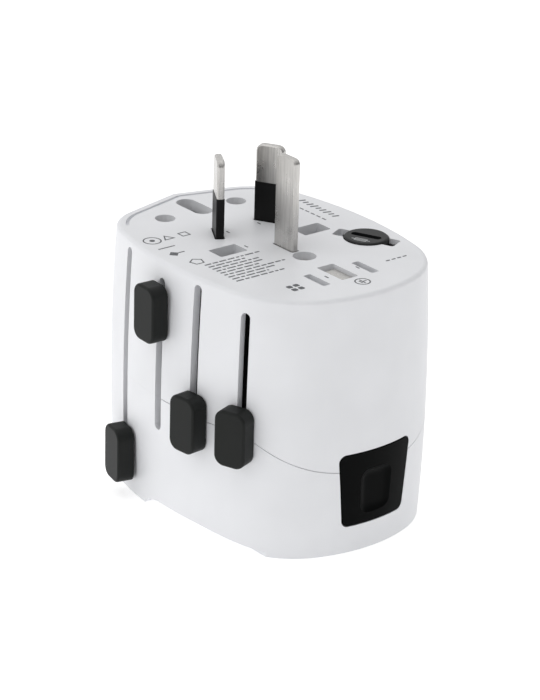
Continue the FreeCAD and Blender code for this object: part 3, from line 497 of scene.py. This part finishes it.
class ADAPTER_OT_inside(bpy.types.Operator):
    """Finish the contacts, springs, link strip and case screws"""
    bl_idname = "adapter.inside"
    bl_label = "Contacts and hardware"

    def execute(self, context):
        # Rolled phosphor bronze: warm, satin, with long rolling streaks.
        bronze = drawn_metal("phosphor_bronze_rolled", linear("#D3A765"), roughness=0.28,
                             streak_mm=0.3, along=(1, 0.05, 1))
        finish(bronze, "live_contact", "neutral_contact", "earth_contact")
        # Drawn spring wire and zinc-plated steel: cool grey, with fine drawing lines.
        steel = drawn_metal("zinc_plated_steel", linear("#BFC2C5"), roughness=0.25,
                            streak_mm=0.15, along=(1, 1, 0.3))
        finish(steel, *nodes_starting("case_screw"), "release_spring", "fuse_spring", "uk_link_strip")
        return {"FINISHED"}


class ADAPTER_OT_signs(bpy.types.Operator):
    """Print the plain signs on the pin face and the fuse cap"""
    bl_idname = "adapter.signs"
    bl_label = "Printed signs"

    def execute(self, context):
        ink = pad_print("grey_pad_print", context.scene.adapter_finishes.ink)
        for name, sides, radius, x, y, turn in OUTLINE_SIGNS:
            mark = new_mark(name, sides, radius, x, y, FACE_Z, turn)
            hollow(SIGN_LINE)
            print_mark(mark, ink)
        for name, sides, radius, x, y in SOLID_SIGNS:
            mark = new_mark(name, sides, radius, x, y, FACE_Z)
            round_corners(0.1)
            print_mark(mark, ink)
        # Earth sign inside its ring: an upright over two level bars.
        bar_group("sign_earth", EARTH_BARS, FACE_Z, ink, corner=0.06)
        bar_group("sign_bars", SIGN_BARS, FACE_Z, ink, corner=0.08)
        blocks = [(BLOCKS_X + dx, BLOCKS_Y + dy, BLOCK_SIZE, BLOCK_SIZE, 0)
                  for dx in (-BLOCK_STEP, BLOCK_STEP) for dy in (-BLOCK_STEP, BLOCK_STEP)]
        bar_group("sign_blocks", blocks, FACE_Z, ink, corner=0.3)
        # Fuse sign on the cap: a box with a line through it.
        low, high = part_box("fuse_cap")
        middle = (low + high) / 2 / MM
        turn = math.radians(COIN_SLOT_TURN + 90)
        out = Vector((math.cos(turn), math.sin(turn)))
        across = Vector((math.cos(turn - math.pi / 2), math.sin(turn - math.pi / 2)))
        x, y = middle.x - out.x * FUSE_SIGN_OFFSET, middle.y - out.y * FUSE_SIGN_OFFSET
        level = COIN_SLOT_TURN - 90
        bars = [(x + out.x * s, y + out.y * s, FUSE_BOX_LENGTH, FUSE_SIGN_LINE, level)
                for s in (-FUSE_BOX_WIDTH / 2, FUSE_BOX_WIDTH / 2)]
        bars.append((x, y, FUSE_WIRE_LENGTH, FUSE_SIGN_LINE, level))
        bars += [(x + across.x * s, y + across.y * s, FUSE_BOX_END, FUSE_SIGN_LINE, COIN_SLOT_TURN)
                 for s in (-FUSE_BOX_LENGTH / 2, FUSE_BOX_LENGTH / 2)]
        pale = pad_print("pale_pad_print", linear("#B9BBBC"))
        bar_group("fuse_sign", bars, CAP_Z, pale, corner=0.04, body="fuse_cover")
        return {"FINISHED"}


class ADAPTER_OT_small_print(bpy.types.Operator):
    """Print blocks of plain dashes where an adapter carries its small print"""
    bl_idname = "adapter.small_print"
    bl_label = "Small print"

    def execute(self, context):
        ink = pad_print("grey_pad_print_fine", shade(context.scene.adapter_finishes.ink, 1.25))
        block = dashed_lines(seed=3, first=(3.7, -20.2), rows=9, pitch=1.32, row_length=16.3, shorter=7.0,
                             wide=0.45)
        bar_group("print_block", block, FACE_Z, ink, corner=0.08)
        leaning = bar_row(first=(-15.2, 20.3), step=(1.45, 0), count=9, lengths=(1.9, 1.3, 1.6), wide=0.5,
                          turn=-18)
        bar_group("print_leaning_bars", leaning, FACE_Z, ink, corner=0.1)
        # Dashes beside the leaning bars and the fuse cap, and lone ones by the pin windows.
        dashes = bar_row(first=(-15.0, 17.1), step=(1.9, 0), count=7, lengths=(1.3,), wide=DASH_WIDTH,
                         turn=90)
        dashes += bar_row(first=(22.8, 12.6), step=(0, 1.5), count=4, lengths=(1.0,), wide=0.4, turn=0)
        dashes += [(x, y, LONE_DASH_LENGTH, DASH_WIDTH, 90) for x, y in LONE_DASHES]
        bar_group("print_dashes", dashes, FACE_Z, ink, corner=0.08)
        return {"FINISHED"}


# ---------------------------------------------------------------- stage
class ADAPTER_OT_stage(bpy.types.Operator):
    """Add the floor, the lights and the camera"""
    bl_idname = "adapter.stage"
    bl_label = "Studio"

    def execute(self, context):
        settings = context.scene.adapter_stage
        low, high = (Vector(corner) for corner in CAD_BOX)
        middle = (low + high) / 2
        bpy.ops.object.select_all(action="DESELECT")
        bpy.ops.mesh.primitive_plane_add(size=FLOOR_SIZE, location=(middle.x, middle.y, low.z - FLOOR_GAP))
        floor = context.object
        floor.name = "studio_floor"
        material, tree = new_material("seamless_pale_paper")
        place = add_node(tree, "ShaderNodeTexCoord").outputs["Object"]
        fibres = add_node(tree, "ShaderNodeTexNoise",
                          {"Vector": place, "Scale": 1 / (PAPER_FIBRE * MM), "Detail": 3.0})
        bump = add_node(tree, "ShaderNodeBump",
                        {"Height": fibres.outputs["Fac"], "Strength": 0.1,
                         "Distance": PAPER_FIBRE_DEPTH * MM})
        shader = add_node(tree, "ShaderNodeBsdfPrincipled",
                          {"Base Color": list(settings.floor), "Roughness": 0.9, "Normal": bump.outputs[0],
                           "Emission Color": (1, 1, 1, 1), "Emission Strength": FLOOR_GLOW})
        add_node(tree, "ShaderNodeOutputMaterial", {"Surface": shader.outputs[0]})
        floor.data.materials.append(material)

        # A pale room, brighter overhead and on the left than on the right.
        world = bpy.data.worlds.new("pale_studio")
        context.scene.world = world
        world.use_nodes = True
        tree = world.node_tree
        tree.nodes.clear()
        look = add_node(tree, "ShaderNodeTexCoord").outputs["Generated"]
        glow = add_node(tree, "ShaderNodeVectorMath", {0: look, 1: ROOM_SLOPE}, operation="DOT_PRODUCT")
        strength = add_node(tree, "ShaderNodeMath", {0: glow.outputs["Value"], 1: settings.daylight},
                            operation="ADD")
        background = add_node(tree, "ShaderNodeBackground",
                              {"Color": (1.0, 1.0, 1.0, 1.0), "Strength": strength.outputs[0]})
        add_node(tree, "ShaderNodeOutputWorld", {"Surface": background.outputs[0]})

        for name, azimuth, elevation, reach, size, watts in LAMPS:
            turn, lift = math.radians(azimuth), math.radians(elevation)
            back = Vector((math.sin(turn) * math.cos(lift), -math.cos(turn) * math.cos(lift), math.sin(lift)))
            bpy.ops.object.light_add(type="AREA", location=middle + back * reach)
            lamp = context.object
            lamp.name = name
            lamp.data.shape = "SQUARE"
            lamp.data.size = size
            lamp.data.energy = watts
            lamp.rotation_euler = back.to_track_quat("Z", "Y").to_euler()

        back = Vector((math.sin(settings.azimuth) * math.cos(settings.elevation),
                       -math.cos(settings.azimuth) * math.cos(settings.elevation),
                       math.sin(settings.elevation)))
        right = Vector((math.cos(settings.azimuth), math.sin(settings.azimuth), 0))
        turn = Matrix((right, back.cross(right), back)).transposed() @ Matrix.Rotation(-settings.roll, 3, "Z")
        bpy.ops.object.camera_add(location=CAMERA_AIM + back * settings.distance)
        camera = context.object
        camera.name = "studio_camera"
        camera.rotation_euler = turn.to_euler()
        camera.data.lens = settings.lens
        camera.data.sensor_width = SENSOR_WIDTH
        camera.data.clip_start = CLIP_START
        camera.data.clip_end = CLIP_END
        context.scene.camera = camera
        context.scene.view_settings.view_transform = "Standard"
        return {"FINISHED"}


# ---------------------------------------------------------------- add-on
OPERATORS = (ADAPTER_OT_shells, ADAPTER_OT_sliders, ADAPTER_OT_pins, ADAPTER_OT_button, ADAPTER_OT_fuse,
             ADAPTER_OT_inside, ADAPTER_OT_signs, ADAPTER_OT_small_print, ADAPTER_OT_stage)
GROUPS = {"adapter_finishes": AdapterFinishes, "adapter_marks": AdapterMarks, "adapter_stage": AdapterStage}


class ADAPTER_PT_panel(bpy.types.Panel):
    """The adapter's settings and pieces"""
    bl_idname = "ADAPTER_PT_panel"
    bl_label = "Travel adapter"
    bl_space_type = "VIEW_3D"
    bl_region_type = "UI"
    bl_category = "Adapter"

    def draw(self, context):
        layout = self.layout
        for group in GROUPS:
            settings = getattr(context.scene, group)
            column = layout.column(align=True)
            for name in settings.bl_rna.properties.keys():
                if name not in ("rna_type", "name"):
                    column.prop(settings, name)
        for operator in OPERATORS:
            layout.operator(operator.bl_idname)


def register():
    for cls in (*GROUPS.values(), *OPERATORS, ADAPTER_PT_panel):
        bpy.utils.register_class(cls)
    for name, group in GROUPS.items():
        setattr(bpy.types.Scene, name, PointerProperty(type=group))


def unregister():
    for name in GROUPS:
        delattr(bpy.types.Scene, name)
    for cls in reversed((*GROUPS.values(), *OPERATORS, ADAPTER_PT_panel)):
        bpy.utils.unregister_class(cls)


def main():
    register()
    for operator in OPERATORS:
        group, call = operator.bl_idname.split(".")
        getattr(getattr(bpy.ops, group), call)()


if __name__ == "__main__":
    main()
